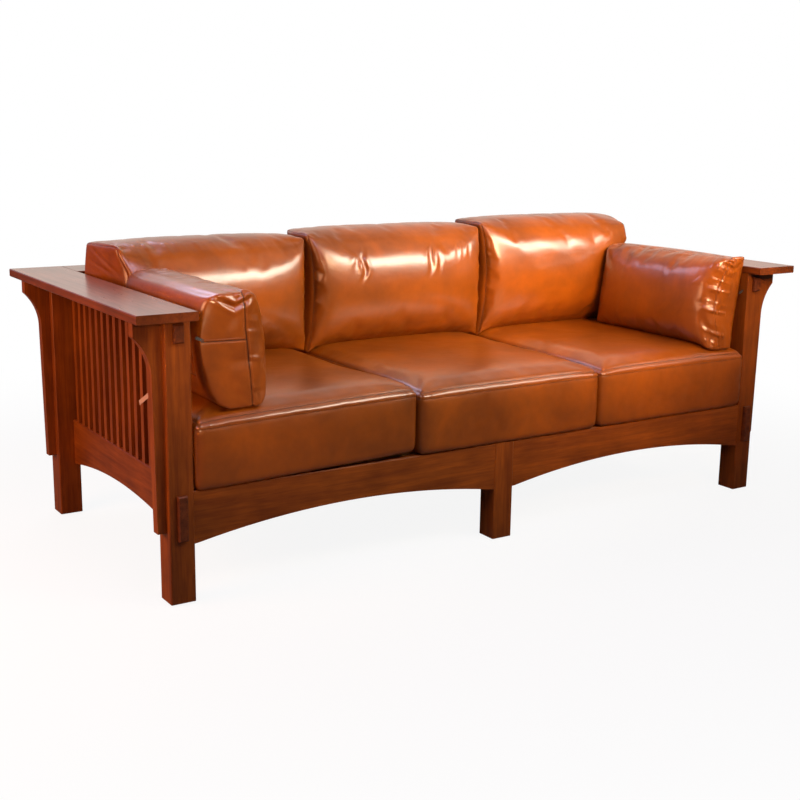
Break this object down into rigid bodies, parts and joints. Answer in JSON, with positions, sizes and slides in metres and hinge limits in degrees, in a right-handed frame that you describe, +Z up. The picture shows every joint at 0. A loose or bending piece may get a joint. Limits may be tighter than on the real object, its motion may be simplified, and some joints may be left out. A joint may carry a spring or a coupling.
{
  "type": "sofa",
  "caption": "Spindle-sided wooden settle frame with arched aprons, corbelled arm boards, loose boxed leather seat and back cushions and arm pillows.",
  "frame": {"origin": "On the floor, in the middle of the width and of the depth over the arm boards.", "axes": "+X runs along the seat to the sitter's left hand, the front faces -Y, +Z is up."},
  "size_m": [2.135, 0.961, 0.8249],
  "materials": {
    "stained_oak": "satin",
    "top_oak": "satin",
    "plain_wood": "matte",
    "tan_leather": "satin",
    "screw_steel": "satin",
    "zip_steel": "satin",
    "glide_nylon": "matte",
    "cotton_tape": "matte"
  },
  "bodies": {
    "frame": {"front_left_post": "stained_oak", "front_right_post": "stained_oak", "back_left_post": "stained_oak", "back_right_post": "stained_oak", "center_front_leg": "stained_oak", "center_back_post": "stained_oak", "front_left_corbel": "stained_oak", "front_right_corbel": "stained_oak", "back_left_corbel": "stained_oak", "back_right_corbel": "stained_oak", "left_arm_board": "top_oak", "right_arm_board": "top_oak", "back_shelf_board": "top_oak", "left_lower_side_rail": "stained_oak", "right_lower_side_rail": "stained_oak", "left_upper_side_rail": "stained_oak", "right_upper_side_rail": "stained_oak", "left_side_spindles": "stained_oak", "right_side_spindles": "stained_oak", "left_front_apron": "stained_oak", "right_front_apron": "stained_oak", "left_lower_back_rail": "stained_oak", "right_lower_back_rail": "stained_oak", "left_upper_back_rail": "stained_oak", "right_upper_back_rail": "stained_oak", "left_back_spindles": "stained_oak", "right_back_spindles": "stained_oak", "lower_tenon_blocks": "top_oak", "upper_tenon_blocks": "top_oak", "front_cleats": "plain_wood", "back_cleats": "plain_wood", "center_stretcher": "plain_wood", "seat_beams": "plain_wood", "seat_slats": "plain_wood", "slat_tapes": "cotton_tape", "cleat_screws": "screw_steel", "arm_screws": "screw_steel", "shelf_screws": "screw_steel", "shelf_dowels": "plain_wood", "leg_glides": "glide_nylon", "tie_tape": "cotton_tape"},
    "left_seat": {"left_seat_cushion": "tan_leather"},
    "left_back": {"left_back_cushion": "tan_leather"},
    "middle_seat": {"middle_seat_cushion": "tan_leather"},
    "middle_back": {"middle_back_cushion": "tan_leather"},
    "right_seat": {"right_seat_cushion": "tan_leather"},
    "right_back": {"right_back_cushion": "tan_leather"},
    "left_pillow": {"left_arm_pillow": "tan_leather", "left_zip_pull": "zip_steel"},
    "right_pillow": {"right_arm_pillow": "tan_leather", "right_zip_pull": "zip_steel"}
  },
  "joints": [
    {"name": "left_seat_out", "type": "slide", "parent": "frame", "child": "left_seat", "axis": [0, -1, 0], "range_m": [0, 0.83]},
    {"name": "middle_seat_out", "type": "slide", "parent": "frame", "child": "middle_seat", "axis": [0, -1, 0], "range_m": [0, 0.83]},
    {"name": "right_seat_out", "type": "slide", "parent": "frame", "child": "right_seat", "axis": [0, -1, 0], "range_m": [0, 0.83]},
    {"name": "left_back_lift", "type": "slide", "parent": "frame", "child": "left_back", "axis": [0, 0, 1], "range_m": [0, 0.36]},
    {"name": "middle_back_lift", "type": "slide", "parent": "frame", "child": "middle_back", "axis": [0, 0, 1], "range_m": [0, 0.36]},
    {"name": "right_back_lift", "type": "slide", "parent": "frame", "child": "right_back", "axis": [0, 0, 1], "range_m": [0, 0.36]},
    {"name": "left_pillow_lift", "type": "slide", "parent": "frame", "child": "left_pillow", "axis": [0, 0, 1], "range_m": [0, 0.3]},
    {"name": "right_pillow_lift", "type": "slide", "parent": "frame", "child": "right_pillow", "axis": [0, 0, 1], "range_m": [0, 0.3]}
  ]
}
